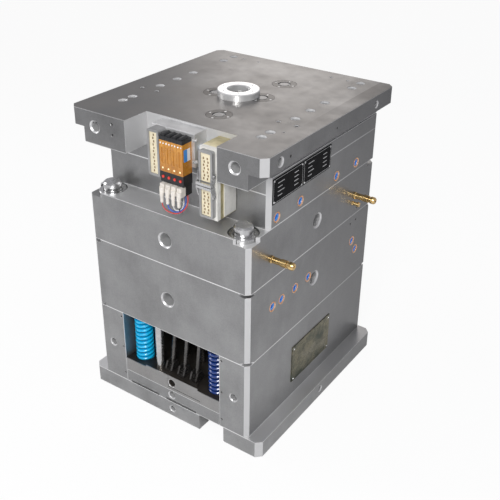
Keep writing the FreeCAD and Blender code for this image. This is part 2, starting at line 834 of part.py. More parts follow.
def top_clamp_plate():
    step = block(-step_width / 2, step_width / 2, -half_length, half_length, step_z, flange_z)
    flange = plate(clamp_width, -half_length, half_length, flange_z, top_z, clamp_corner_cut)
    shape = step.fuse(flange).removeSplitter()
    tools = [block(top_notch_left, top_notch_right, -half_length - 1, ledge_y, step_z - 1, top_z + 1),
             rod(top_bore_radius, vec(0, 0, step_z - 1), up, top_z - step_z + 2)]
    for side in (-1, 1):
        for y in bolt_y:
            tools.append(hole(vec(side * bolt_x, y, top_z), down, bolt_radius, bolt_depth, bolt_chamfer))
        tools.append(link_block(side * link_x, link_play, link_depth))
        for x in dowel_x:
            tools.append(hole(vec(side * x, half_length - dowel_edge, top_z), down, dowel_radius, 20, 1.5))
        tools.append(hole(vec(side * bolt_x, -half_length, flange_z + 6), front, small_lift_radius + flange_lift_growth,
                          small_lift_depth, lift_chamfer))
    for y, radius in flange_holes:
        tools.append(hole(vec(half_clamp, y, flange_z + 20), leftward, radius, flange_hole_depth, radius / 4))
    for z in (flange_z + 25, flange_z - 3):
        tools.append(hole(vec(-152, -half_length, z), front, pin_hole_radius, pin_hole_depth, 1))
    tools.append(hole(vec(step_width / 2 - 11, -152, top_z), down, 2.5, pin_hole_depth, 1))
    for x, y in drop_places:
        tools.append(rod(cover_radius + cover_play, vec(x, y, top_z - cover_thickness), up, cover_thickness + 1))
        tools.append(rod(cover_radius - cover_ledge, vec(x, y, top_z - cover_well), up, cover_well))
    return cut_all(shape, tools)


def link_block(x, play, depth):
    """Flush link with round ends."""
    r = link_width / 2 + play
    bar = block(x - link_pitch / 2, x + link_pitch / 2, link_y - r, link_y + r, top_z - depth, top_z)
    ends = [rod(r, vec(x + s * link_pitch / 2, link_y, top_z - depth), up, depth) for s in (-1, 1)]
    return bar.fuse(ends).removeSplitter()


def inlay_links():
    solids = []
    for side in (-1, 1):
        x = side * link_x
        tools = [hole(vec(x + s * link_pitch / 2, link_y, top_z), down, link_screw_radius, link_depth + 1, 2)
                 for s in (-1, 1)]
        solids.append(cut_all(link_block(x, 0, link_depth), tools))
    return solids


def locating_ring():
    inner = ring_bore_radius
    crest = ring_height - ring_chamfer
    profile = [(inner, 0), (ring_radius, 0), (ring_radius, crest), (ring_radius - ring_chamfer, ring_height),
               (inner + ring_chamfer, ring_height), (inner, crest)]
    tools = [hole(vec(x, y, top_z + ring_height), down, ring_screw_radius + screw_play,
                  ring_screw_height + ring_screw_sink) for x, y in ring_screw_places()]
    return cut_all(turned(profile, vec(0, 0, top_z)), tools)


def ring_screw_places():
    circle = (ring_radius + ring_bore_radius) / 2
    turns = [math.radians(ring_screw_turn + 360 * i / ring_screw_count) for i in range(ring_screw_count)]
    return [(circle * math.cos(turn), circle * math.sin(turn)) for turn in turns]


def locating_ring_screws():
    solids = []
    seat = top_z + ring_height - ring_screw_sink - ring_screw_height
    for x, y in ring_screw_places():
        head = rod(ring_screw_radius, vec(x, y, seat), up, ring_screw_height)
        points = hexagon(x, y, seat + ring_screw_height, ring_screw_radius / 2)
        solids.append(head.cut(prism(points, vec(0, 0, -ring_screw_height / 2))))
    return solids


def cover_screw_places(x, y):
    turns = [math.radians(360 * i / cover_screw_count) for i in range(cover_screw_count)]
    return [(x + cover_screw_circle * math.cos(turn), y + cover_screw_circle * math.sin(turn)) for turn in turns]


def valve_gate_covers():
    """Flush round covers over the valve cylinders, each with a turned groove and four screw seats."""
    solids = []
    inner, outer = cover_groove
    floor = cover_thickness - cover_groove_depth
    centre = cover_thickness - cover_centre_sink
    profile = [(0, 0), (cover_radius, 0), (cover_radius, cover_thickness), (outer, cover_thickness), (outer, floor),
               (inner, floor), (inner, centre), (0, centre)]
    for x, y in drop_places:
        tools = [hole(vec(sx, sy, top_z), down, cover_screw_radius + screw_play, cover_screw_height + cover_screw_sink)
                 for sx, sy in cover_screw_places(x, y)]
        solids.append(cut_all(turned(profile, vec(x, y, top_z - cover_thickness)), tools))
    return solids


def valve_gate_cover_screws():
    solids = []
    seat = top_z - cover_screw_sink - cover_screw_height
    for x, y in drop_places:
        for sx, sy in cover_screw_places(x, y):
            solids.append(rod(cover_screw_radius, vec(sx, sy, seat), up, cover_screw_height))
    return solids


def data_plates():
    z0 = step_z - data_plate_drop
    return [block(half_body, half_body + data_plate_thickness, y, y + data_plate_length, z0, z0 + data_plate_height)
            for y in data_plate_y]


# ---------------------------------------------------------------- boxes on the ledge
def junction_box():
    """Folded sheet box behind the connectors, closed at the back by the hot-runner plates."""
    inner = block(box_left + box_panel, box_right - box_panel, box_front + box_cover, ledge_y - 1,
                  box_bottom + box_panel, box_top - box_panel)
    return block(box_left, box_right, box_front + box_cover, ledge_y, box_bottom, box_top).cut(inner)


def junction_box_cover():
    """Side panel and front plate, with the front plate cut out behind each connector."""
    side = block(box_right, box_right + box_panel, box_front + box_cover + box_seam, ledge_y - box_panel,
                 box_bottom + 3, box_top)
    plate_front = block(box_left, box_right, box_front, box_front + box_cover, box_bottom, box_top)
    tools = []
    for z in housing_places():
        tools.append(block(housing_left() + housing_wall, housing_left() + housing_width - housing_wall,
                           box_front - 1, box_front + box_cover + 1, z + housing_wall, z + housing_height - housing_wall))
    return [side, cut_all(plate_front, tools)]


def junction_box_gland():
    x = (box_left + box_right) / 2
    step = gland_radius - 3
    neck = gland_radius - 6
    profile = [(gland_bore, 0), (gland_radius, 0), (gland_radius, -7), (step, -8), (step, -14), (neck, -16),
               (gland_bore, -16)]
    return turned(profile, vec(x, ledge_y - gland_y, box_bottom))


def housing_left():
    return (box_left + box_right - housing_width) / 2


def housing_places():
    lower = box_bottom + box_margin
    return [lower, lower + housing_height + housing_gap]


def frame_housing(x, y, z, width, height, depth, wall):
    """Connector hood base: an open frame with rounded corners and a lip."""
    outer = block(x, x + width, y, y + depth, z, z + height)
    edges = [e for e in outer.Edges if abs(e.tangentAt(e.FirstParameter).y) > 0.9]
    outer = outer.makeFillet(min(6.0, wall), edges)
    inner = block(x + wall, x + width - wall, y - 1, y + depth + 1, z + wall, z + height - wall)
    return outer.cut(inner)


def peg_places():
    """Lever pegs: near the top of the lower housing and near the bottom of the upper one."""
    lower, upper = housing_places()
    y = box_front - housing_depth + peg_rise
    return [vec(0, y, lower + housing_height - peg_setback), vec(0, y, upper + peg_setback)]


def box_connector_housings():
    solids = []
    reach = lever_play + lever_thickness + peg_end
    for z, peg in zip(housing_places(), peg_places()):
        shape = frame_housing(housing_left(), box_front - housing_depth, z, housing_width, housing_height,
                              housing_depth, housing_wall)
        left = vec(housing_left(), peg.y, peg.z)
        right = vec(housing_left() + housing_width, peg.y, peg.z)
        pegs = [rod(peg_radius, left, leftward, reach), rod(peg_radius, right, vec(1, 0, 0), reach)]
        solids.append(shape.fuse(pegs).removeSplitter())
    return solids


def box_connector_inserts():
    solids = []
    inset = housing_wall + insert_play
    front_y = box_front - housing_depth + insert_sink
    for z in housing_places():
        solids.append(block(housing_left() + inset, housing_left() + housing_width - inset,
                            front_y, front_y + insert_depth, z + inset, z + housing_height - inset))
    return solids


def connector_lever(peg, side):
    """Bail lever: two cheeks beside the housing and a cross bar in front of it; side is +1 when it points up."""
    cheek_left = housing_left() - lever_play
    cheek_right = housing_left() + housing_width + lever_play
    y = peg.y
    level = peg.z
    hub = lever_hub
    bar_z = level + side * lever_reach
    end_z = bar_z + side * lever_bar
    front_y = y - lever_drop
    solids = []
    for x0, x1 in ((cheek_left - lever_thickness, cheek_left), (cheek_right, cheek_right + lever_thickness)):
        outline = [vec(x0, y + hub, level - side * hub), vec(x0, y - hub, level - side * hub), vec(x0, front_y, bar_z),
                   vec(x0, front_y, end_z), vec(x0, front_y + lever_bar + 2, end_z), vec(x0, y + hub, level + side * hub)]
        bore = rod(peg_radius + running, vec(x0 - 1, y, level), vec(1, 0, 0), lever_thickness + 2)
        solids.append(prism(outline, vec(x1 - x0, 0, 0)).cut(bore))
    bar = block(cheek_left - lever_thickness, cheek_right + lever_thickness, front_y, front_y + lever_bar,
                min(bar_z, end_z), max(bar_z, end_z))
    return solids[0].fuse([solids[1], bar]).removeSplitter()


def side_connector_housing():
    y = manifold_block_front
    wall = side_housing_wall
    shape = frame_housing(side_housing_left, y - side_housing_depth, side_housing_bottom, side_housing_width,
                          side_housing_height, side_housing_depth, wall)
    back = block(side_housing_left + wall - 1, side_housing_left + side_housing_width - wall + 1,
                 y - side_housing_back, y, side_housing_bottom + wall - 1, side_housing_top - wall + 1)
    return shape.fuse(back).removeSplitter()


def side_connector_insert():
    y = manifold_block_front
    inset = side_housing_wall + insert_play
    return block(side_housing_left + inset, side_housing_left + side_housing_width - inset,
                 y - side_housing_depth + insert_sink, y - side_housing_back,
                 side_housing_bottom + inset, side_housing_top - inset)


def valve_manifold_block():
    """Aluminium block behind the valves, with two slotted ports and a fitting on its right end."""
    y = manifold_block_front
    right = manifold_block_right
    shape = block(manifold_block_left, right, y, ledge_y, manifold_block_bottom, manifold_block_top)
    edges = [e for e in shape.Edges if abs(e.tangentAt(e.FirstParameter).x) > 0.9
             and e.CenterOfMass.y < ledge_y - 1]
    shape = shape.makeChamfer(manifold_block_chamfer, edges)
    tools = [hole(vec(right, ledge_y - fitting_inset, manifold_block_middle), leftward, fitting_radius - fitting_neck,
                  pin_hole_depth)]
    r = port_slot_radius
    for z in (manifold_block_middle - port_slot_spread, manifold_block_middle + port_slot_spread):
        tools.append(rod(r, vec(right - port_slot_depth, y + 4, z), vec(1, 0, 0), port_slot_depth + 1))
        tools.append(block(right - port_slot_depth, right + 1, y - 1, y + 4, z - r, z + r))
    return cut_all(shape, tools)


def manifold_port_fitting():
    neck = fitting_radius - fitting_neck
    tip = fitting_radius - 1.5
    profile = [(fitting_bore, -pin_hole_depth), (neck, -pin_hole_depth), (neck, 0), (fitting_radius, 0),
               (fitting_radius, 4), (tip, 5), (tip, fitting_length), (fitting_bore, fitting_length)]
    return turned(profile, vec(manifold_block_right, ledge_y - fitting_inset, manifold_block_middle), vec(1, 0, 0))


def valve_x(index):
    return valve_left + index * valve_pitch


def valve_front():
    return manifold_block_front - valve_depth


def valve_bodies():
    solids = []
    for i in range(valve_count):
        x0 = valve_x(i)
        x1 = x0 + valve_pitch - valve_gap
        y = valve_front()
        shape = block(x0, x1, y, y + valve_depth, valve_bottom, valve_top)
        window = block(x0 + valve_frame, x1 - valve_frame, y - 1, y + valve_window_depth,
                       valve_bottom + 22, valve_top - 18)
        solids.append(shape.cut(window))
    return solids


def valve_caps():
    solids = []
    for i in range(valve_count):
        x0 = valve_x(i)
        x1 = x0 + valve_pitch - valve_gap
        y = valve_front()
        base = block(x0, x1, y, y + valve_depth, valve_top, valve_top + cap_height)
        lump = rod(cap_lump, vec((x0 + x1) / 2, y + 2, valve_top + cap_height), front, valve_depth - 10)
        solids.append(base.fuse(lump).removeSplitter())
    return solids


def valve_band_right():
    return valve_x(valve_count) - valve_gap


def valve_pilot_band():
    """Black moulding under the valves: button band in front, socket rail lower down behind it."""
    y = valve_front()
    band = block(valve_left, valve_band_right(), y + band_sink, y + valve_depth, band_bottom, valve_bottom)
    rail = block(valve_left + rail_end, valve_band_right() - rail_end, y + rail_sink, y + valve_depth,
                 rail_bottom, band_bottom)
    tools = [rod(override_radius + override_play, vec(override_x(i), y, override_z()), front, rail_sink)
             for i in range(valve_count)]
    return cut_all(band.fuse(rail).removeSplitter(), tools)


def override_x(index):
    return valve_x(index) + (valve_pitch - valve_gap) / 2


def override_z():
    return (band_bottom + valve_bottom) / 2


def override_button(index):
    y = valve_front() + band_sink - override_out
    return rod(override_radius, vec(override_x(index), y, override_z()), front, override_out + override_depth)


def valve_plugs():
    """Cream sockets plugged into the rail, each with a rounded front."""
    solids = []
    y = valve_front() + rail_sink
    z = rail_bottom + plug_lift
    for i in range(valve_count):
        x = override_x(i)
        body = block(x - plug_half, x + plug_half, y - plug_reach, y, z, band_bottom - 3)
        nose = rod(plug_half, vec(x, y - plug_reach, z), up, plug_rise)
        solids.append(body.fuse(nose).removeSplitter())
    return solids


def wire_ferrules():
    grip = ferrule_radius - 1
    tip = ferrule_radius - 2
    profile = [(0, 0), (ferrule_radius, 0), (ferrule_radius, -9), (grip, -11), (grip, 2 - ferrule_length),
               (tip, -ferrule_length), (0, -ferrule_length)]
    y = valve_front() + rail_sink - plug_reach - 2
    return [turned(profile, vec(override_x(i), y, rail_bottom + plug_lift)) for i in range(valve_count)]


# routes of the four wires from their ferrules to the underside of the rail
wire_routes = (
    ((2.3, -316, 666), (3.5, -316.5, 657), (13, -317, 649), (29, -317.5, 646), (48, -317, 648), (63, -312, 658),
     (69, -303, 671), (64, -294, 682), (58, -288, 690)),
    ((19.5, -316, 666), (20.5, -316.5, 659), (28, -316, 652), (41, -315, 650), (54, -312, 654), (61, -305, 664),
     (59, -296, 674), (54, -290, 682), (50, -288, 690)),
    ((36.7, -316, 666), (37.5, -316, 660), (42, -314, 655), (49, -310, 654), (54, -304, 659), (53, -297, 668),
     (48, -291, 678), (43, -288, 684), (42, -288, 690)),
    ((53.9, -316, 666), (54.5, -316, 660), (53, -312, 654), (48, -306, 653), (42, -300, 658), (38, -294, 668),
     (36, -290, 679), (34, -288, 685), (34, -288, 690)),
)


def wire_tube(points, radius):
    """Straight runs joined by tangent arcs, each as large as its two runs allow."""
    route = [vec(*p) for p in points]
    edges = []
    last = route[0]
    smallest = 1e9
    for before, corner, after in zip(route, route[1:], route[2:]):
        into = (corner - before).normalize()
        out = (after - corner).normalize()
        turn = into.getAngle(out)
        reach = 0.45 * min((corner - before).Length, (after - corner).Length)
        bend = reach / math.tan(turn / 2)
        smallest = min(smallest, bend)
        start = corner - into * reach
        end = corner + out * reach
        bisector = (out - into).normalize()
        centre = corner + bisector * (bend / math.cos(turn / 2))
        middle = centre - bisector * bend
        edges.append(Part.LineSegment(last, start).toShape())
        edges.append(Part.Arc(start, middle, end).toShape())
        last = end
    edges.append(Part.LineSegment(last, route[-1]).toShape())
    path = Part.Wire(edges)
    profile = Part.Wire(Part.makeCircle(radius, route[0], route[1] - route[0]))
    tube = path.makePipeShell([profile], True, True)
    print("wire length", round(path.Length, 1), "smallest bend", round(smallest, 1),
          "volume ratio", round(tube.Volume / (math.pi * radius ** 2 * path.Length), 4))
    return tube


def main():
    save("bottom_clamp_plate", bottom_clamp_plate())
    save("base_screws", *base_screws())
    save("spacer_block_left", spacer_block(-1))
    save("spacer_block_right", spacer_block(1))
    save("core_plate", core_plate())
    save("core_insert", core_insert())
    save("leader_pins", *leader_pins())
    save("ejector_guide_pins", *ejector_guide_pins())
    save("support_pillars", *support_pillars())
    save("stop_buttons", *stop_buttons())
    spring_names = ("front_left", "front_right", "rear_left", "rear_right")
    for name, (x, y) in zip(spring_names, corners(return_x, return_y)):
        save("return_spring_" + name, return_spring(x, y))
    save("spacer_side_plate", spacer_side_plate())
    save("core_port_plugs", *port_plugs(core_ports()))
    save("ejector_base_plate", ejector_base_plate())
    save("ejector_retainer_plate", ejector_retainer_plate())
    save("return_pins", *return_pins())
    save("ejector_pins", *ejector_pins())
    save("lifter_base_units", *lifter_base_units())
    save("lifter_bars", *lifter_bars())
    save("cavity_plate", cavity_plate())
    save("cavity_insert", cavity_insert())
    save("leader_bushings", *leader_bushings())
    save("water_nipples", *water_nipples())
    save("hot_runner_plate_lower", hot_runner_plate_lower())
    save("hot_runner_port_plugs", *port_plugs(hot_ports()))
    save("hot_runner_manifold", hot_runner_manifold())
    save("hot_runner_nozzles", *hot_runner_nozzles())
    save("hot_runner_plate_upper", hot_runner_plate_upper())
    save("sprue_bushing", sprue_bushing())
    save("top_clamp_plate", top_clamp_plate())
    save("inlay_links", *inlay_links())
    save("locating_ring", locating_ring())
    save("locating_ring_screws", *locating_ring_screws())
    save("valve_gate_covers", *valve_gate_covers())
    save("valve_gate_cover_screws", *valve_gate_cover_screws())
    save("data_plates", *data_plates())
    save("junction_box", junction_box())
    save("junction_box_cover", *junction_box_cover())
    save("junction_box_gland", junction_box_gland())
    save("box_connector_housings", *box_connector_housings())
    save("box_connector_inserts", *box_connector_inserts())
    low_peg, high_peg = peg_places()
    save("connector_lever_lower", connector_lever(low_peg, 1))
    save("connector_lever_upper", connector_lever(high_peg, -1))
    print("lever pegs", low_peg, high_peg)
    save("side_connector_housing", side_connector_housing())
    save("side_connector_insert", side_connector_insert())
    save("valve_manifold_block", valve_manifold_block())
    save("manifold_port_fitting", manifold_port_fitting())
    save("valve_bodies", *valve_bodies())
    save("valve_caps", *valve_caps())
    save("valve_pilot_band", valve_pilot_band())
    for i in range(valve_count):
        save("override_button_" + str(i + 1), override_button(i))
    save("valve_plugs", *valve_plugs())
    save("wire_ferrules", *wire_ferrules())
    save("valve_wires", *[wire_tube(route, wire_radius) for route in wire_routes])


main()
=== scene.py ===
import math
import bmesh
import bpy
from mathutils import Matrix, Vector


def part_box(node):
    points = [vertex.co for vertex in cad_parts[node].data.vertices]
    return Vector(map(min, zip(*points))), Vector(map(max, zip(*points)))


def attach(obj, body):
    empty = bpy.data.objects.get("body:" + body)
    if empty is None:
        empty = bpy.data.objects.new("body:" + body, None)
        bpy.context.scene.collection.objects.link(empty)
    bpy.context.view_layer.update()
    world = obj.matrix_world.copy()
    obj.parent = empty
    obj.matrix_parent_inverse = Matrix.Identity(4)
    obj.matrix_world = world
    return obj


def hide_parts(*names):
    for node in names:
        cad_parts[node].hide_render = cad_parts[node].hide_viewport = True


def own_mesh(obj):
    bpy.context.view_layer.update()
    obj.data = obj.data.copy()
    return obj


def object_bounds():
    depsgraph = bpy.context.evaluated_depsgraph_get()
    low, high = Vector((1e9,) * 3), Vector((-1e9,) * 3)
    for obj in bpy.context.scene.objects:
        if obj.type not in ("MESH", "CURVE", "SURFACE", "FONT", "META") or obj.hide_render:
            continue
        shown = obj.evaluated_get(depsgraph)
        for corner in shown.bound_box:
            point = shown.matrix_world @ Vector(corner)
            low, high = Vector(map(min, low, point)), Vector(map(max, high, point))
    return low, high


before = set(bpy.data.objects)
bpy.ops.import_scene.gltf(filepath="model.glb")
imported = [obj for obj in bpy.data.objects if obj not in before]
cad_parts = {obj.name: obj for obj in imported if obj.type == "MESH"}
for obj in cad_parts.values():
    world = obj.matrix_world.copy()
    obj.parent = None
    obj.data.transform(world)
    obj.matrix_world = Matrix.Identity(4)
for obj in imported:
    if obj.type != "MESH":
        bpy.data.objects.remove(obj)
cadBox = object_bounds()
mm = 0.001
print("frame loaded:", len(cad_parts), "nodes")


# ---- shader helpers

class Link:  # wraps one socket, so that shader maths reads as an expression
    def __init__(self, finish, socket):
        self.finish = finish
        self.socket = socket

    def maths(self, operation, *others):
        values = dict(enumerate((self,) + others))
        return self.finish.node("Math", {"operation": operation}, values)

    def __add__(self, other):
        return self.maths("ADD", other)

    def __radd__(self, other):
        return self.maths("ADD", other)

    def __sub__(self, other):
        return self.maths("SUBTRACT", other)

    def __rsub__(self, other):
        return self.finish.node("Math", {"operation": "SUBTRACT"}, {0: other, 1: self})

    def __mul__(self, other):
        return self.maths("MULTIPLY", other)

    def __rmul__(self, other):
        return self.maths("MULTIPLY", other)

    def near(self, value, reach):
        return self.maths("COMPARE", value, reach)

    def above(self, value):
        return self.maths("GREATER_THAN", value)

    def below(self, value):
        return self.maths("LESS_THAN", value)

    def most(self, other):
        return self.maths("MAXIMUM", other)

    def range(self, low, high, newLow=0.0, newHigh=1.0):
        sizes = {"Value": self, "From Min": low, "From Max": high, "To Min": newLow, "To Max": newHigh}
        return self.finish.node("MapRange", {"clamp": True}, sizes)


class Finish:  # one material and the few calls that build it
    def __init__(self, name):
        self.material = bpy.data.materials.new(name)
        self.material.use_nodes = True
        self.tree = self.material.node_tree
        self.tree.nodes.clear()
        self.place = self.node("TexCoord", {}, {}, "Object")
        self.shader = self.tree.nodes.new("ShaderNodeBsdfPrincipled")
        self.output = self.tree.nodes.new("ShaderNodeOutputMaterial")
        self.tree.links.new(self.shader.outputs[0], self.output.inputs[0])

    def node(self, kind, settings, values, output=0):
        made = self.tree.nodes.new("ShaderNode" + kind)
        for name, value in settings.items():
            setattr(made, name, value)
        for name, value in values.items():
            self.feed(made.inputs[name], value)
        return Link(self, made.outputs[output])

    def feed(self, socket, value):
        if isinstance(value, Link):
            self.tree.links.new(value.socket, socket)
        else:
            socket.default_value = value

    def axis(self, name):
        return self.node("SeparateXYZ", {}, {0: self.place}, name)

    def stretched(self, x, y, z):
        return self.node("Mapping", {}, {"Vector": self.place, "Scale": (x, y, z)})

    def noise(self, scale, detail=3.0, rough=0.55, place=None):
        return self.node("TexNoise", {}, {"Vector": place or self.place, "Scale": scale, "Detail": detail,
                                          "Roughness": rough}, "Fac")

    def mix(self, factor, first, second):
        return self.node("Mix", {"data_type": "RGBA"}, {0: factor, 6: first, 7: second}, 2)

    def bump(self, height, strength, depth=0.001):
        return self.node("Bump", {}, {"Height": height, "Strength": strength, "Distance": depth})

    def set(self, **values):
        names = {"colour": "Base Color", "rough": "Roughness", "metal": "Metallic", "normal": "Normal",
                 "coat": "Coat Weight", "coatRough": "Coat Roughness", "clear": "Transmission Weight",
                 "glow": "Emission Color", "glowStrength": "Emission Strength", "ior": "IOR"}
        for name, value in values.items():
            self.feed(self.shader.inputs[names[name]], value)
        return self.material


def grey(value, warm=0.0):
    return (value * (1 + warm), value, value * (1 - warm), 1)


# ---- finishes

# the pale and well tones are painted highlights on cut corners and drilled hole walls
steel = {"grain": 900.0, "cloud": 7.0, "roughLow": 0.30, "roughHigh": 0.48, "edge": 1.1 * mm,
         "pale": 0.60, "highlightMetal": 0.40, "well": 0.62, "litWellMetal": 0.60, "farShade": 0.6}


def groundSteel(name, tone=0.30, warm=0.0, edges=(), metal=0.86, pale=None, oily=None):
    f = Finish(name)
    cloud = f.noise(steel["cloud"], 5.0, 0.6)
    grain = f.noise(1.0, 2.0, 0.5, f.stretched(steel["grain"] * 0.04, steel["grain"] * 0.04, steel["grain"]))
    speck = f.noise(steel["grain"] * 0.55, 2.0, 0.7)
    wipe = f.noise(26.0, 6.0, 0.7, f.stretched(1.0, 1.0, 0.35))
    shade = cloud.range(0.32, 0.70, 0.86, 1.12) * speck.range(0.3, 0.7, 0.94, 1.06) * wipe.range(0.3, 0.75, 0.96, 1.05)
    dark = grey(tone * 0.45, warm)
    light = grey(tone * 1.35, warm)
    colour = f.mix(shade.range(0.62, 1.35), dark, light)
    rough = cloud.range(0.3, 0.7, steel["roughLow"], steel["roughHigh"]) + grain.range(0.3, 0.7, -0.03, 0.03)
    # painted highlight: a thin light line along the top and bottom edges of each plate
    height = f.axis("Z")
    edgeHighlight = None
    for edge in edges:
        line = height.near(edge, steel["edge"])
        edgeHighlight = line if edgeHighlight is None else edgeHighlight.most(line)
    if edgeHighlight is not None:
        colour = f.mix(edgeHighlight, colour, grey(min(tone * 2.4, 0.8), warm))
    # painted highlight: cut corners, the top plate's notch and drilled hole walls are painted pale, as if lit
    if pale:
        litFacets, litHoleWalls = pale(f)
        # painted shade: the right faces darken towards the back
        rightFaceFalloff = f.axis("Y").range(-0.15, 0.31, 0.0, steel["farShade"]) * f.axis("X").above(0.2485)
        colour = f.mix(rightFaceFalloff, colour, dark)
        colour = f.mix(litHoleWalls, f.mix(litFacets, colour, grey(steel["pale"])), grey(steel["well"]))
        metal = litFacets.range(0.0, 1.0, metal, steel["highlightMetal"])
        metal = metal - litHoleWalls * (steel["litWellMetal"] * 0.5)
    if oily:
        colour = f.mix(oily(f), colour, f.mix(cloud.range(0.35, 0.65), grey(0.055, 0.10), grey(0.105, 0.14)))
    normal = f.bump(grain + speck * 0.5, 0.10, 0.0004)
    return f.set(colour=colour, rough=rough, metal=metal, normal=normal)


def turnedSteel(name, tone=0.55, centre=None, rough=0.22, metal=0.95):
    f = Finish(name)
    place = f.place if centre is None else f.node("Mapping", {"vector_type": "POINT"}, {
        "Vector": f.place, "Location": (-centre[0], -centre[1], 0)})
    rings = f.node("TexWave", {"wave_type": "RINGS", "rings_direction": "Z"}, {
        "Vector": place, "Scale": 160.0, "Distortion": 0.6, "Detail": 2.0}, "Fac")
    cloud = f.noise(30.0, 3.0)
    colour = f.mix(cloud.range(0.3, 0.7) * 0.6 + rings * 0.25, grey(tone * 0.72), grey(tone * 1.15))
    return f.set(colour=colour, rough=cloud.range(0.3, 0.7, rough - 0.06, rough + 0.08) + rings * 0.04, metal=metal,
                 normal=f.bump(rings, 0.05, 0.0003))


def oiledSteel(name, tone):
    f = Finish(name)
    cloud = f.noise(12.0, 6.0, 0.65)
    film = f.noise(40.0, 5.0, 0.7, f.stretched(1.0, 1.0, 3.0))
    colour = f.mix(cloud.range(0.35, 0.65), grey(tone * 0.45, 0.10), grey(tone * 1.5, 0.03))
    return f.set(colour=colour, rough=film.range(0.3, 0.7, 0.16, 0.42), metal=0.85, normal=f.bump(film, 0.12, 0.0006))


def paint(name, colour, rough=0.28, coat=0.6, metal=0.0, wear=0.12):
    f = Finish(name)
    cloud = f.noise(35.0, 4.0, 0.6)
    fine = f.noise(420.0, 2.0)
    deep = tuple(c * (1 - wear) for c in colour[:3]) + (1,)
    light = tuple(min(1.0, c * (1 + wear) + 0.01) for c in colour[:3]) + (1,)
    return f.set(colour=f.mix(cloud.range(0.3, 0.7), deep, light), rough=fine.range(0.3, 0.7, rough - 0.05, rough + 0.08),
                 coat=coat, coatRough=0.12, metal=metal, normal=f.bump(fine, 0.06, 0.0003))


def plastic(name, colour, rough=0.42, texture=900.0, bump=0.12, wear=0.10):
    f = Finish(name)
    cloud = f.noise(60.0, 4.0, 0.6)
    skin = f.noise(texture, 2.0, 0.6)
    deep = tuple(c * (1 - wear) for c in colour[:3]) + (1,)
    light = tuple(min(1.0, c * (1 + wear) + 0.004) for c in colour[:3]) + (1,)
    return f.set(colour=f.mix(cloud.range(0.3, 0.7), deep, light), rough=skin.range(0.3, 0.7, rough - 0.06, rough + 0.08),
                 normal=f.bump(skin, bump, 0.0003))


def amberMoulding(name):
    f = Finish(name)
    cloud = f.noise(90.0, 4.0, 0.6)
    height = f.axis("Z")
    low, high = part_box("valve_bodies")
    # painted shade: the amber body darkens towards the bottom
    bottomShade = height.range(low.z, high.z, 0.9, 0.15)
    colour = f.mix(cloud.range(0.3, 0.7) * 0.5 + bottomShade * 0.5, (0.80, 0.37, 0.05, 1), (0.42, 0.15, 0.02, 1))
    return f.set(colour=colour, rough=cloud.range(0.3, 0.7, 0.16, 0.30), clear=0.22, ior=1.5, coat=0.5, coatRough=0.05)


def castMetal(name, tone=0.42, warm=0.0):
    f = Finish(name)
    skin = f.noise(700.0, 3.0, 0.6)
    cloud = f.noise(25.0, 4.0)
    colour = f.mix(cloud.range(0.3, 0.7), grey(tone * 0.85, warm), grey(tone * 1.12, warm))
    return f.set(colour=colour, rough=skin.range(0.3, 0.7, 0.36, 0.54), metal=0.7, normal=f.bump(skin, 0.2, 0.0004))


def yellowChromate(name):
    f = Finish(name)
    cloud = f.noise(14.0, 5.0, 0.65)
    fine = f.noise(70.0, 4.0, 0.7, f.stretched(1.0, 1.0, 2.5))
    colour = f.mix(cloud.range(0.35, 0.65), (0.42, 0.35, 0.17, 1), (0.66, 0.60, 0.38, 1))
    colour = f.mix(fine.range(0.56, 0.72) * 0.5, colour, (0.34, 0.36, 0.22, 1))
    return f.set(colour=colour, rough=fine.range(0.3, 0.7, 0.26, 0.44), metal=0.75)


def turnedBrass(name):
    f = Finish(name)
    cloud = f.noise(45.0, 4.0, 0.6)
    lathe = f.noise(1.0, 2.0, 0.5, f.stretched(1400.0, 20.0, 20.0))
    colour = f.mix(cloud.range(0.3, 0.7), (0.62, 0.40, 0.15, 1), (0.86, 0.63, 0.30, 1))
    return f.set(colour=colour, rough=cloud.range(0.3, 0.7, 0.16, 0.30), metal=1.0, normal=f.bump(lathe, 0.08, 0.0003))


# painted reflection: the green-brown mottle stands for mottled ground mirrored in the plate's polished face
def reflectionPlate(name):
    f = Finish(name)
    reflectedMottle = f.noise(22.0, 6.0, 0.7)
    reflectedStreak = f.noise(9.0, 5.0, 0.65, f.stretched(1.0, 1.0, 2.0))
    colour = f.mix(reflectedMottle.range(0.36, 0.62), (0.035, 0.045, 0.025, 1), (0.22, 0.20, 0.13, 1))
    colour = f.mix(reflectedStreak.range(0.52, 0.66), colour, (0.24, 0.22, 0.16, 1))
    return f.set(colour=colour, rough=reflectedMottle.range(0.3, 0.7, 0.14, 0.36), metal=0.85)


# drilled holes and cut corners that get a painted highlight, in metres
wells = {
    "front": ((0, 0.025, 0.0108), (-0.206, 0.165, 0.0128), (0.206, 0.165, 0.0128), (0, 0.384, 0.0218),
              (0, 0.558, 0.0218), (0, 0.0732, 0.0128), (0, 0.113, 0.0128), (-0.209, 0.806, 0.0168),
              (0.209, 0.806, 0.0168)),
    "side": ((0, 0.025, 0.0108), (0, 0.384, 0.0218), (0, 0.558, 0.0218), (-0.251, 0.820, 0.0128),
             (0.208, 0.820, 0.0103)),
    "top": tuple((x, y, 0.0128) for x in (-0.209, 0.209) for y in (-0.206, -0.170, -0.062, 0.008, 0.078, 0.221, 0.270))
           + tuple((x, 0.269, 0.0053) for x in (-0.171, -0.120, 0.120, 0.171)),
    "reach": 0.06}
cuts = {"bottom_clamp_plate": (0.015, 0.015), "top_clamp_plate": (0.015, 0.015), "spacer_block_left": (0.0012, 0.010),
        "spacer_block_right": (0.010, 0.0012), "ejector_base_plate": (0.0, 0.0), "ejector_retainer_plate": (0.0, 0.0)}
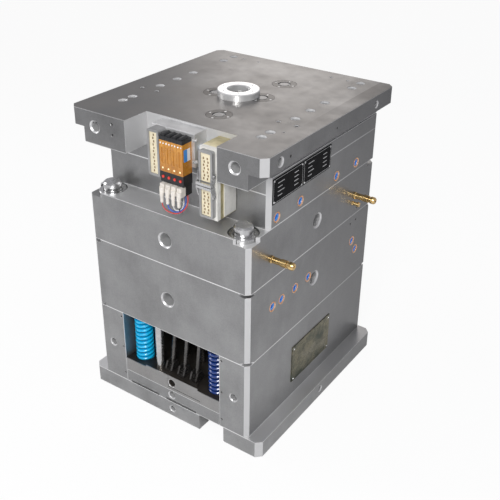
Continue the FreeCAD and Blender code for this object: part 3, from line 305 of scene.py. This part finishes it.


# masks for the painted highlights on cut corners, notch walls and drilled hole walls
def paintedHighlightMasks(node):
    low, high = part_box(node)

    def mask(f):
        x = f.axis("X")
        y = f.axis("Y")
        z = f.axis("Z")
        rightCut, leftCut = (c + 0.0006 for c in cuts.get(node, (0.010, 0.010)))
        total = (x - y).above(high.x - low.y - rightCut).most((x + y).below(low.x + low.y + leftCut))
        holes = f.axis("Z").above(9.0)
        if node == "cavity_plate":
            total = total.most((x - y).above(high.x - low.y - 0.045) * z.above(high.z - 0.0134))
        if node == "top_clamp_plate":
            notch = x.above(-0.1106) * x.below(0.1616) * y.below(-0.2294) * z.below(high.z - 0.0006)
            total = total.most(notch)
        for a, b, r in wells["front"]:
            if low.z < b < high.z and low.x < a < high.x:
                ring = (x - a) * (x - a) + (z - b) * (z - b)
                holes = holes.most(ring.below(r * r) * y.below(low.y + wells["reach"]))
        for a, b, r in wells["side"]:
            if low.z < b < high.z and high.x > 0.249 and low.y < a < high.y:
                ring = (y - a) * (y - a) + (z - b) * (z - b)
                holes = holes.most(ring.below(r * r) * x.above(high.x - wells["reach"]))
        if node == "top_clamp_plate":
            for a, b, r in wells["top"]:
                ring = (x - a) * (x - a) + (y - b) * (y - b)
                holes = holes.most(ring.below(r * r) * z.above(high.z - wells["reach"]))
        return total, holes
    return mask


def upperFace(f):  # the top plate's upper face, which carries a thin oil film
    return f.axis("Z").above(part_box("top_clamp_plate")[1].z - 0.0004) * 0.72


def behindFront(f):  # everything behind the worn milled front of the retainer plate
    return f.axis("Y").above(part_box("ejector_retainer_plate")[0].y + 0.0022)


# ---- finishes of the carried-over pieces

stack = {"bottom_clamp_plate": 0.38, "spacer_block_left": 0.36, "spacer_block_right": 0.36, "core_plate": 0.35,
         "cavity_plate": 0.35, "hot_runner_plate_lower": 0.36, "hot_runner_plate_upper": 0.36, "top_clamp_plate": 0.29,
         "ejector_base_plate": 0.34}
finishes = {}
for node, tone in stack.items():
    low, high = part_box(node)
    finishes[node] = groundSteel("ground " + node, tone, 0.0, edges=(high.z - 0.4 * mm, low.z + 0.3 * mm),
                                 pale=paintedHighlightMasks(node), oily=upperFace if node == "top_clamp_plate" else None)
darkSteel = oiledSteel("oiled steel", 0.09)
retainerSteel = groundSteel("worn retainer steel", 0.36, 0.02, pale=paintedHighlightMasks("ejector_retainer_plate"), oily=behindFront)
pinSteel = turnedSteel("polished pin steel", 0.62, None, 0.20)
ringSteel = turnedSteel("turned ring steel", 0.92, (0, 0), 0.14, 0.6)
coverSteel = groundSteel("ground cover steel", 0.34, oily=upperFace)
# painted highlight: small screw and rivet heads are painted near white for the glint they catch
highlightHead = paint("screw heads with painted highlight", (0.82, 0.82, 0.82), 0.25, 0.3, 0.35)
zinc = turnedSteel("bright zinc", 0.70, None, 0.18)
bluePlug = plastic("blue plug", (0.05, 0.30, 0.86), 0.25)
cream = plastic("cream moulding", (0.72, 0.64, 0.46), 0.40)
milky = plastic("milky moulding", (0.72, 0.68, 0.62), 0.35)
blackMoulding = plastic("black moulding", (0.016, 0.016, 0.018), 0.40)
redMoulding = plastic("red button", (0.70, 0.045, 0.03), 0.30)
amber = amberMoulding("amber moulding")
blockMetal = castMetal("milled aluminium", 0.66)
hoodMetal = castMetal("cast hood", 0.40)
sheetGold = yellowChromate("yellow chromate sheet")
offWhite = paint("off-white paint", (0.66, 0.65, 0.61), 0.34, 0.2)
brass = turnedBrass("turned brass")
blackPlate = plastic("black anodised plate", (0.005, 0.005, 0.006), 0.50, 1600.0, 0.05)
blackPlate.node_tree.nodes["Principled BSDF"].inputs["IOR"].default_value = 1.15
# side plate with a painted reflection of mottled ground
sidePlateReflection = reflectionPlate("side plate with painted reflection")
blueWhite = plastic("pale blue fitting", (0.60, 0.68, 0.80), 0.25)
finishes.update({
    "base_screws": zinc, "core_insert": pinSteel, "cavity_insert": pinSteel, "leader_pins": pinSteel,
    "ejector_guide_pins": pinSteel, "return_pins": pinSteel, "ejector_pins": darkSteel, "lifter_bars": darkSteel,
    "leader_bushings": pinSteel, "sprue_bushing": ringSteel, "locating_ring": ringSteel, "locating_ring_screws": highlightHead,
    "valve_gate_covers": coverSteel, "valve_gate_cover_screws": highlightHead, "inlay_links": finishes["top_clamp_plate"],
    "support_pillars": darkSteel, "stop_buttons": darkSteel, "ejector_retainer_plate": retainerSteel,
    "lifter_base_units": darkSteel, "hot_runner_manifold": darkSteel, "hot_runner_nozzles": darkSteel,
    "spacer_side_plate": sidePlateReflection, "core_port_plugs": bluePlug, "hot_runner_port_plugs": bluePlug,
    "water_nipples": brass, "data_plates": blackPlate, "junction_box": sheetGold, "junction_box_cover": offWhite,
    "junction_box_gland": blackMoulding, "box_connector_housings": hoodMetal, "box_connector_inserts": cream,
    "connector_lever_lower": zinc, "connector_lever_upper": zinc, "side_connector_housing": hoodMetal,
    "side_connector_insert": cream, "valve_manifold_block": blockMetal, "manifold_port_fitting": blueWhite,
    "valve_bodies": amber, "valve_caps": blackMoulding, "valve_pilot_band": blackMoulding, "valve_plugs": milky,
    "wire_ferrules": milky})
for i in range(1, 5):
    finishes["override_button_%d" % i] = redMoulding
for node, material in finishes.items():
    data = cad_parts[node].data
    data.materials.clear()
    data.materials.append(material)
print("finishes on", len(finishes), "carried-over pieces")


# ---- helpers for new pieces

def finished(name, bm, material, body, smoothAngle=35.0):
    mesh = bpy.data.meshes.new(name)
    bmesh.ops.remove_doubles(bm, verts=bm.verts[:], dist=1e-7)
    bmesh.ops.recalc_face_normals(bm, faces=bm.faces[:])
    bm.to_mesh(mesh)
    bm.free()
    for face in mesh.polygons:
        face.use_smooth = True
    mesh.set_sharp_from_angle(angle=math.radians(smoothAngle))
    mesh.materials.append(material)
    made = bpy.data.objects.new(name, mesh)
    bpy.context.scene.collection.objects.link(made)
    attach(made, body)
    return made


def barInto(bm, low, high, bevel=0.0):
    size = Vector(high) - Vector(low)
    middle = (Vector(high) + Vector(low)) / 2
    made = bmesh.ops.create_cube(bm, size=1.0, matrix=Matrix.Translation(middle) @ Matrix.Diagonal((*size, 1)))
    if bevel:
        edges = list({e for v in made["verts"] for e in v.link_edges})
        bmesh.ops.bevel(bm, geom=edges, offset=bevel, offset_type="OFFSET", affect="EDGES", segments=2, profile=0.5,
                        material=-1)


def turnedInto(bm, centre, axis, profile, steps=32):
    # profile: (radius, height) pairs spun about the axis through centre
    turn = Vector((0, 0, 1)).rotation_difference(Vector(axis)).to_matrix().to_4x4()
    place = Matrix.Translation(Vector(centre)) @ turn
    verts = [bm.verts.new(place @ Vector((r, 0, h))) for r, h in profile]
    edges = [bm.edges.new((a, b)) for a, b in zip(verts, verts[1:])]
    bmesh.ops.spin(bm, geom=verts + edges, cent=centre, axis=axis, dvec=(0, 0, 0), angle=2 * math.pi, steps=steps,
                   use_merge=True, use_duplicate=False)


def screwInto(bm, centre, axis, radius, height):
    hollow = height * 0.45
    turnedInto(bm, centre, axis, [(0, 0), (radius, 0), (radius, height * 0.8), (radius * 0.88, height),
                                  (radius * 0.5, height), (radius * 0.42, height - hollow), (0, height - hollow)], 20)


# ---- die springs

spring = {"pitch": 13.4 * mm, "thick": 7.4 * mm, "bore": 13.8 * mm, "round": 2.2 * mm, "steps": 30, "inset": 0.3 * mm}
springColours = {"front_left": (0.0, 0.52, 0.90, 1), "front_right": (0.004, 0.035, 0.20, 1),
                 "rear_left": (0.004, 0.035, 0.20, 1), "rear_right": (0.0, 0.50, 0.82, 1)}


def helicalSpring(place, colour):
    node = "return_spring_" + place
    low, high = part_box(node)
    centre = (low + high) / 2
    outer = (high.x - low.x) / 2 - spring["inset"]
    inner = spring["bore"]
    bm = bmesh.new()
    half = spring["thick"] / 2
    r = spring["round"]
    z = low.z + half
    outline = [(inner, -half + r), (inner + r, -half), (outer - r, -half), (outer, -half + r), (outer, half - r),
               (outer - r, half), (inner + r, half), (inner, half - r)]
    verts = [bm.verts.new((centre.x + a, centre.y, z + b)) for a, b in outline]
    face = bm.faces.new(verts)
    closedTurn = spring["thick"]
    active = high.z - low.z - spring["thick"] - 2 * closedTurn
    turns = max(1, round(active / spring["pitch"]))
    geom = [face]
    for count, rise in ((1, closedTurn), (turns, active), (1, closedTurn)):
        steps = count * spring["steps"]
        spun = bmesh.ops.spin(bm, geom=geom, cent=(centre.x, centre.y, 0), axis=(0, 0, 1), dvec=(0, 0, rise / steps),
                              angle=2 * math.pi * count, steps=steps, use_merge=False, use_duplicate=False)
        geom = [g for g in spun["geom_last"] if isinstance(g, bmesh.types.BMFace)]
    made = finished(node + "_coil", bm, paint("spring paint " + place, colour, 0.24, 0.8), "moving_half")
    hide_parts(node)
    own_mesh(made)
    return made


for place, colour in springColours.items():
    helicalSpring(place, colour)
print("springs wound")


# ---- valve wires

wire = {"radius": 1.2 * mm}
wireRoutes = (
    ("red", (0.62, 0.03, 0.03), 0.117,
     ((2.3, -316, 666), (3.5, -316.5, 657), (13, -317, 649), (29, -317.5, 646), (48, -317, 648), (63, -312, 658),
      (69, -303, 671), (64, -294, 682), (58, -288, 690))),
    ("blue", (0.03, 0.10, 0.55), 0.0906,
     ((19.5, -316, 666), (20.5, -316.5, 659), (28, -316, 652), (41, -315, 650), (54, -312, 654), (61, -305, 664),
      (59, -296, 674), (54, -290, 682), (50, -288, 690))),
    ("white", (0.72, 0.70, 0.68), 0.0676,
     ((36.7, -316, 666), (37.5, -316, 660), (42, -314, 655), (49, -310, 654), (54, -304, 659), (53, -297, 668),
      (48, -291, 678), (43, -288, 684), (42, -288, 690))),
    ("black", (0.015, 0.015, 0.015), 0.0658,
     ((53.9, -316, 666), (54.5, -316, 660), (53, -312, 654), (48, -306, 653), (42, -300, 658), (38, -294, 668),
      (36, -290, 679), (34, -288, 685), (34, -288, 690))),
)


def wireLoop(name, colour, points):
    data = bpy.data.curves.new("wire_" + name, "CURVE")
    data.dimensions = "3D"
    line = data.splines.new("NURBS")
    line.points.add(len(points) - 1)
    for point, place in zip(line.points, points):
        point.co = (*(c * mm for c in place), 1)
    line.order_u = 3
    line.use_endpoint_u = True
    line.resolution_u = 8
    data.bevel_depth = wire["radius"]
    data.bevel_resolution = 4
    data.use_fill_caps = True
    data.materials.append(plastic(name + " insulation", colour, 0.30, 1200.0, 0.04))
    made = bpy.data.objects.new("valve_wire_" + name, data)
    bpy.context.scene.collection.objects.link(made)
    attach(made, "fixed_half")
    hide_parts("valve_wires")
    return made


for name, colour, length, points in wireRoutes:
    wireLoop(name, colour, points)
print("wires laid")


# ---- connector contacts

contactBrown = castMetal("bronze contacts", 0.16, 0.55)
contacts = {"pitch": 8.2 * mm, "width": 3.2 * mm, "height": 5.2 * mm, "proud": 0.6 * mm, "edge": 3.0 * mm}


def contactColumns(name, low, high, columns, stagger):
    bm = bmesh.new()
    rows = int((high.z - low.z - 2 * contacts["edge"]) / contacts["pitch"])
    for column, across in enumerate(columns):
        x = low.x + (high.x - low.x) * across
        for row in range(rows):
            z = low.z + contacts["edge"] + (row + 0.5) * contacts["pitch"] + (stagger if column % 2 else 0)
            side = 1 if row % 2 else -1
            half = contacts["width"] / 2
            shift = side * contacts["width"] * 0.3
            barInto(bm, (x + shift - half, low.y - contacts["proud"], z - contacts["height"] / 2),
                    (x + shift + half, low.y + 1.2 * mm, z + contacts["height"] / 2), 0.4 * mm)
    return finished(name, bm, contactBrown, "fixed_half")


def insertHalves():
    low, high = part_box("box_connector_inserts")
    middle = (low.z + high.z) / 2
    split = (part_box("box_connector_housings")[1].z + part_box("box_connector_housings")[0].z) / 2
    gap = 8.5 * mm
    return (low, Vector((high.x, high.y, split - gap))), (Vector((low.x, low.y, split + gap)), high)


for name, (low, high) in zip(("lower", "upper"), insertHalves()):
    contactColumns("contacts_" + name, low, high, (0.30, 0.70), 0.0)
contactColumns("contacts_side", *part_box("side_connector_insert"), (0.5,), 0.0)
print("contacts set")


# ---- small parts on the valves

valveDetail = {"screw": 1.9 * mm}


def valveFronts():
    low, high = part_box("valve_bodies")
    pitch = (high.x - low.x + 0.6 * mm) / 4
    return [(low.x + (i + 0.5) * pitch - 0.3 * mm, low, high) for i in range(4)]


screws = bmesh.new()
leds = bmesh.new()
for x, low, high in valveFronts():
    for side in (-1, 1):
        screwInto(screws, (x + side * 4.2 * mm, low.y + 0.2 * mm, high.z - 7 * mm), (0, -1, 0), valveDetail["screw"],
                  1.2 * mm)
    turnedInto(leds, (x, low.y + 0.3 * mm, low.z + 9 * mm), (0, -1, 0),
               [(0, 0), (2.2 * mm, 0), (2.2 * mm, 0.6 * mm), (1.6 * mm, 1.3 * mm), (0, 1.6 * mm)], 16)
finished("valve_screws", screws, highlightHead, "fixed_half")
# painted glow: the indicator lenses are given a faint yellow emission
ledFinish = Finish("indicator lens")
paintedLensGlow = ledFinish.noise(300.0, 2.0).range(0.3, 0.7)
ledMaterial = ledFinish.set(colour=ledFinish.mix(paintedLensGlow, (1.0, 0.80, 0.35, 1), (1.0, 0.95, 0.75, 1)), rough=0.15,
                            glow=ledFinish.mix(paintedLensGlow, (1.0, 0.72, 0.22, 1), (1.0, 0.9, 0.6, 1)), glowStrength=0.5)
finished("valve_indicators", leds, ledMaterial, "fixed_half")

label = bmesh.new()
low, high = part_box("valve_bodies")
barInto(label, (high.x - 0.1 * mm, low.y + 5 * mm, high.z - 44 * mm), (high.x + 0.3 * mm, high.y - 6 * mm, high.z - 14 * mm))
labelFinish = Finish("half blue label")
split = labelFinish.axis("Y").above((low.y + high.y) / 2)
labelTone = labelFinish.noise(200.0, 3.0).range(0.3, 0.7, 0.9, 1.05)
labelMaterial = labelFinish.set(colour=labelFinish.mix(split, (0.05, 0.24, 0.62, 1), (0.74, 0.74, 0.74, 1)), rough=0.4,
                                normal=labelFinish.bump(labelTone, 0.05))
finished("valve_side_label", label, labelMaterial, "fixed_half")
print("valve details set")


# ---- port rings and plate trims

# painted reflection: the rings round the port plugs are coloured copper for a thin reflection at each port's rim
reflectionFinish = Finish("reflection ring")
reflectionTone = reflectionFinish.noise(80.0, 3.0).range(0.3, 0.7)
reflection = reflectionFinish.set(colour=reflectionFinish.mix(reflectionTone, (0.72, 0.34, 0.16, 1), (0.92, 0.60, 0.38, 1)),
                          rough=reflectionTone.range(0, 1, 0.2, 0.4), metal=0.5)


def plugCentres(node):
    # centres of a node's plugs, one for each loose part of its mesh
    bm = bmesh.new()
    bm.from_mesh(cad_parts[node].data)
    bmesh.ops.remove_doubles(bm, verts=bm.verts[:], dist=1e-6)
    left = set(bm.verts)
    found = []
    while left:
        queue = [left.pop()]
        island = []
        while queue:
            vert = queue.pop()
            island.append(vert.co.copy())
            for edge in vert.link_edges:
                other = edge.other_vert(vert)
                if other in left:
                    left.remove(other)
                    queue.append(other)
        low = Vector([min(c[i] for c in island) for i in range(3)])
        high = Vector([max(c[i] for c in island) for i in range(3)])
        found.append((low, high))
    bm.free()
    return found


# rings round each port plug, in the painted-reflection finish
def portRings(name, node, body):
    bm = bmesh.new()
    for low, high in plugCentres(node):
        centre = (high.x, (low.y + high.y) / 2, (low.z + high.z) / 2)
        r = (high.z - low.z) / 2
        turnedInto(bm, centre, (1, 0, 0), [(r * 0.80, -1.0 * mm), (r * 0.80, 2.0 * mm), (r * 0.90, 3.2 * mm),
                                           (r * 1.06, 2.9 * mm), (r * 1.06, -1.0 * mm), (r * 0.80, -1.0 * mm)], 36)
    return finished(name, bm, reflection, body)


portRings("core_port_rings", "core_port_plugs", "moving_half")
portRings("hot_port_rings", "hot_runner_port_plugs", "fixed_half")
print("port rings set")


# ---- knurled sleeves of the two long water nipples

sleeve = {"start": 6 * mm, "stem": 28 * mm, "collar": 45 * mm, "groove": 51 * mm, "end": 61 * mm, "tip": 64.4 * mm,
          "slim": 8.2 * mm, "wide": 9.8 * mm, "neck": 7.6 * mm, "bore": 3.0 * mm}
sleeves = bmesh.new()
for low, high in plugCentres("water_nipples"):
    if high.x - low.x > 70 * mm:
        base = (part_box("cavity_plate")[1].x, (low.y + high.y) / 2, (low.z + high.z) / 2)
        turnedInto(sleeves, base, (1, 0, 0), [
            (5.2 * mm, 0.2 * mm), (sleeve["wide"], 0.2 * mm), (sleeve["wide"], 4 * mm), (sleeve["slim"], sleeve["start"]),
            (sleeve["slim"], sleeve["stem"]), (sleeve["wide"], sleeve["stem"] + 2 * mm), (sleeve["wide"], sleeve["collar"]),
            (sleeve["neck"], sleeve["collar"] + 1 * mm), (sleeve["neck"], sleeve["groove"] - 1 * mm),
            (sleeve["wide"], sleeve["groove"]), (sleeve["wide"], sleeve["end"]), (sleeve["neck"], sleeve["tip"]),
            (sleeve["bore"], sleeve["tip"]), (sleeve["bore"], sleeve["tip"] - 3 * mm)], 48)
finished("water_nipple_sleeves", sleeves, brass, "fixed_half")
print("nipple sleeves set")


# ---- data plates: silver border, blank bars and corner rivets

plates = {"border": 0.8 * mm, "mark": 1.8 * mm, "proud": 0.25 * mm, "inset": 2.6 * mm, "rivet": 2.2 * mm}
silver = castMetal("bright border", 0.72)


def frameInto(bm, x, low, high, width):
    barInto(bm, (x, low.y, low.z), (x + plates["proud"], high.y, low.z + width))
    barInto(bm, (x, low.y, high.z - width), (x + plates["proud"], high.y, high.z))
    barInto(bm, (x, low.y, low.z + width), (x + plates["proud"], low.y + width, high.z - width))
    barInto(bm, (x, high.y - width, low.z + width), (x + plates["proud"], high.y, high.z - width))


trim = bmesh.new()
rivets = bmesh.new()
blanks = bmesh.new()
for low, high in plugCentres("data_plates"):
    x = high.x - 0.05 * mm
    inset = Vector((0, plates["inset"], plates["inset"]))
    frameInto(trim, x, low + inset, high - inset, plates["border"])
    for y in (low.y + 5.5 * mm, high.y - 5.5 * mm):
        for z in (low.z + 5.5 * mm, high.z - 5.5 * mm):
            screwInto(rivets, (x, y, z), (1, 0, 0), plates["rivet"], 1.0 * mm)
    width = high.y - low.y
    for row in range(4):
        z = low.z + (0.24 + 0.17 * row) * (high.z - low.z)
        end = low.y + (0.30 + 0.07 * (row % 2)) * width
        barInto(blanks, (x, low.y + 0.16 * width, z), (x + 0.15 * mm, end, z + plates["mark"]))
        barInto(blanks, (x, low.y + 0.70 * width, z), (x + 0.15 * mm, low.y + 0.84 * width, z + plates["mark"]))
finished("data_plate_borders", trim, silver, "fixed_half")
finished("data_plate_rivets", rivets, highlightHead, "fixed_half")
finished("data_plate_fields", blanks, silver, "fixed_half")

sidePins = bmesh.new()
low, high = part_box("spacer_side_plate")
for y in (low.y + 8 * mm, high.y - 8 * mm):
    for z in (low.z + 8 * mm, high.z - 8 * mm):
        screwInto(sidePins, (high.x - 0.1 * mm, y, z), (1, 0, 0), 3.0 * mm, 1.6 * mm)
finished("side_plate_screws", sidePins, zinc, "moving_half")
print("plates trimmed")


# ---- room, lamps and camera

def stageMaterial(name, tone):
    f = Finish(name)
    f.shader.inputs["Specular IOR Level"].default_value = 0.0
    f.shader.inputs["Roughness"].default_value = 1.0
    f.shader.inputs["Base Color"].default_value = (tone, tone, tone, 1)
    glow = f.tree.nodes.new("ShaderNodeEmission")
    glow.inputs["Strength"].default_value = 1.0
    path = f.node("LightPath", {}, {}, "Is Camera Ray")
    blendNode = f.tree.nodes.new("ShaderNodeMixShader")
    f.feed(blendNode.inputs[0], path * 0.93)
    f.tree.links.new(f.shader.outputs[0], blendNode.inputs[1])
    f.tree.links.new(glow.outputs[0], blendNode.inputs[2])
    f.tree.links.new(blendNode.outputs[0], f.output.inputs[0])
    return f.material


def floorSheet():
    bm = bmesh.new()
    bmesh.ops.create_grid(bm, x_segments=1, y_segments=1, size=8.0)
    mesh = bpy.data.meshes.new("floor")
    bm.to_mesh(mesh)
    bm.free()
    mesh.materials.append(stageMaterial("pale floor", 0.88))
    made = bpy.data.objects.new("floor", mesh)
    made.location.z = cadBox[0].z - 0.2 * mm
    bpy.context.scene.collection.objects.link(made)


def lamp(name, place, target, size, power, tone=(1, 1, 1)):
    data = bpy.data.lights.new(name, "AREA")
    data.shape = "DISK"
    data.size = size
    data.energy = power
    data.color = tone
    made = bpy.data.objects.new(name, data)
    made.location = place
    made.rotation_euler = (Vector(place) - Vector(target)).to_track_quat("Z", "Y").to_euler()
    bpy.context.scene.collection.objects.link(made)


def room():
    world = bpy.data.worlds.new("studio")
    world.use_nodes = True
    nodes = world.node_tree.nodes
    links = world.node_tree.links
    nodes.clear()
    path = nodes.new("ShaderNodeLightPath")
    soft = nodes.new("ShaderNodeBackground")
    soft.inputs[0].default_value = (0.42, 0.42, 0.44, 1)
    white = nodes.new("ShaderNodeBackground")
    white.inputs[0].default_value = (1, 1, 1, 1)
    mixed = nodes.new("ShaderNodeMixShader")
    out = nodes.new("ShaderNodeOutputWorld")
    links.new(path.outputs["Is Camera Ray"], mixed.inputs[0])
    links.new(soft.outputs[0], mixed.inputs[1])
    links.new(white.outputs[0], mixed.inputs[2])
    links.new(mixed.outputs[0], out.inputs[0])
    bpy.context.scene.world = world


def camera():
    data = bpy.data.cameras.new("camera")
    data.lens = 57.07
    data.sensor_width = 36.0
    data.shift_y = -0.05
    data.clip_end = 50
    made = bpy.data.objects.new("camera", data)
    right = Vector((0.8231, 0.5678, 0.0109))
    up = Vector((-0.2757, 0.3827, 0.8817))
    back = right.cross(up)
    place = Matrix((right, up, back)).transposed().to_4x4()
    place.translation = Vector((1.1239, -1.5906, 1.5082))
    made.matrix_world = place
    bpy.context.scene.collection.objects.link(made)
    bpy.context.scene.camera = made


floorSheet()
room()
lamp("key", (0.9, -1.9, 2.0), (0.05, -0.15, 0.45), 0.9, 42)
lamp("back panel", (-1.03, 1.93, 1.66), (0.1, 0.05, 0.86), 1.1, 4.2, (1.0, 0.94, 0.89))
lamp("left fill", (-2.2, -0.9, 1.5), (0, 0, 0.4), 1.2, 14)
camera()
bpy.context.scene.view_settings.view_transform = "Standard"
print("room and camera set")
